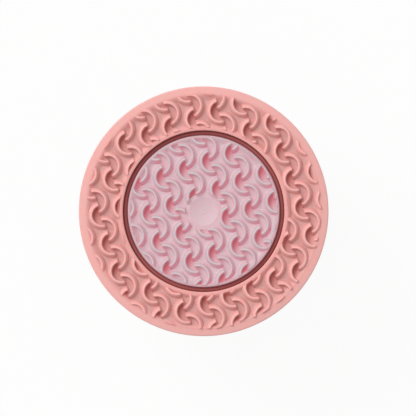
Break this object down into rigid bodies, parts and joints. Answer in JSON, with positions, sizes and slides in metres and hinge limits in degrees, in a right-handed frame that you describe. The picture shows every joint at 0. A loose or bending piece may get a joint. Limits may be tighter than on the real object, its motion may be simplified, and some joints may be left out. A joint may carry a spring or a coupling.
{
  "type": "facial cleansing brush",
  "caption": "Round palm-held facial cleansing brush: a silicone disc turns against a silicone outer ring, both covered in curved massage ridges.",
  "frame": {"origin": "centre of the foot pad's flat face, on the surface that the brush stands on", "axes": "+Z leaves the brush face along the spin axis, -Y is the side with the power button"},
  "size_m": [0.06, 0.06, 0.0508],
  "materials": {
    "salmon_silicone": "satin silicone",
    "pale_pink_silicone": "translucent satin silicone",
    "maroon_silicone": "satin silicone",
    "blush_shell": "fine matte moulding",
    "white_resin": "moulded",
    "acetal": "moulded, self-lubricating",
    "bright_steel": "turned",
    "bearing_bronze": "sintered",
    "black_rubber": "matte",
    "black_plastic": "moulded",
    "green_board": "solder mask",
    "cell_foil": "pouch foil",
    "lead_insulation": "smooth insulation",
    "gold_plate": "plated",
    "frosted_lens": "frosted"
  },
  "bodies": {
    "housing": {"main_shell": "blush_shell", "rear_cover": "blush_shell", "grip_sleeve": "salmon_silicone", "head_o_ring": "black_rubber", "foot_pad": "salmon_silicone", "housing_seal": "black_rubber", "housing_screws": "bright_steel", "shaft_seal": "black_rubber", "spindle_bush": "bearing_bronze", "compound_axle": "bright_steel", "gear_plate": "bright_steel", "gear_plate_screws": "bright_steel", "motor_can": "bright_steel", "motor_end_cap": "black_plastic", "motor_screws": "bright_steel", "motor_leads": "lead_insulation", "circuit_board": "green_board", "board_screws": "bright_steel", "board_chips": "black_plastic", "tact_switch": "black_plastic", "button_seal": "maroon_silicone", "status_light_pipe": "frosted_lens", "battery_cell": "cell_foil", "battery_foam": "black_rubber", "battery_leads": "lead_insulation", "charging_contacts": "gold_plate", "charge_magnets": "bright_steel"},
    "head": {"head_base": "white_resin", "hub_bush": "acetal", "thrust_washer": "acetal", "planet_pins": "bright_steel"},
    "outer_ring": {"outer_brush_ring": "salmon_silicone", "ring_gear_carrier": "white_resin", "gap_seal": "maroon_silicone"},
    "inner_disc": {"inner_brush_pad": "pale_pink_silicone", "inner_pad_carrier": "white_resin", "sun_gear": "acetal", "hub_clip": "bright_steel"},
    "planet_1": {"planet_gear_1": "acetal"},
    "planet_2": {"planet_gear_2": "acetal"},
    "planet_3": {"planet_gear_3": "acetal"},
    "spindle": {"drive_spindle": "bright_steel", "output_gear": "acetal"},
    "compound": {"compound_gear": "acetal"},
    "rotor": {"motor_shaft": "bright_steel", "motor_pinion": "bearing_bronze"},
    "button": {"power_button": "salmon_silicone", "tact_plunger": "white_resin"}
  },
  "joints": [
    {"name": "head_pull_off", "type": "slide", "parent": "housing", "child": "head", "axis": [0, 0, 1], "range_m": [0, 0.018]},
    {"name": "outer_ring_spin", "type": "hinge", "parent": "head", "child": "outer_ring", "pos_m": [0, 0, 0.046], "axis": [0, 0, 1], "continuous": true},
    {"name": "inner_disc_spin", "type": "hinge", "parent": "head", "child": "inner_disc", "pos_m": [0, 0, 0.046], "axis": [0, 0, 1], "continuous": true},
    {"name": "planet_1_spin", "type": "hinge", "parent": "head", "child": "planet_1", "pos_m": [0, 0.0108, 0.045], "axis": [0, 0, 1], "continuous": true},
    {"name": "planet_2_spin", "type": "hinge", "parent": "head", "child": "planet_2", "pos_m": [-0.00935, -0.0054, 0.045], "axis": [0, 0, 1], "continuous": true},
    {"name": "planet_3_spin", "type": "hinge", "parent": "head", "child": "planet_3", "pos_m": [0.00935, -0.0054, 0.045], "axis": [0, 0, 1], "continuous": true},
    {"name": "spindle_spin", "type": "hinge", "parent": "housing", "child": "spindle", "pos_m": [0, 0, 0.034], "axis": [0, 0, 1], "continuous": true},
    {"name": "compound_spin", "type": "hinge", "parent": "housing", "child": "compound", "pos_m": [0, 0.0115, 0.031], "axis": [0, 0, 1], "continuous": true},
    {"name": "rotor_spin", "type": "hinge", "parent": "housing", "child": "rotor", "pos_m": [-0.01111, 0.00852, 0.029], "axis": [0, 0, 1], "continuous": true},
    {"name": "power_button_press", "type": "slide", "parent": "housing", "child": "button", "axis": [0, 1, 0], "range_m": [0, 0.0007], "stiffness_N_per_m": 400, "springref_m": -0.0005}
  ],
  "couplings": [
    {"joint": "inner_disc_spin", "follows": "outer_ring_spin", "ratio": -2.6},
    {"joint": "planet_1_spin", "follows": "outer_ring_spin", "ratio": 3.25},
    {"joint": "planet_2_spin", "follows": "outer_ring_spin", "ratio": 3.25},
    {"joint": "planet_3_spin", "follows": "outer_ring_spin", "ratio": 3.25},
    {"joint": "spindle_spin", "follows": "outer_ring_spin", "ratio": -2.6},
    {"joint": "compound_spin", "follows": "outer_ring_spin", "ratio": 7.3667},
    {"joint": "rotor_spin", "follows": "outer_ring_spin", "ratio": -20.872}
  ]
}
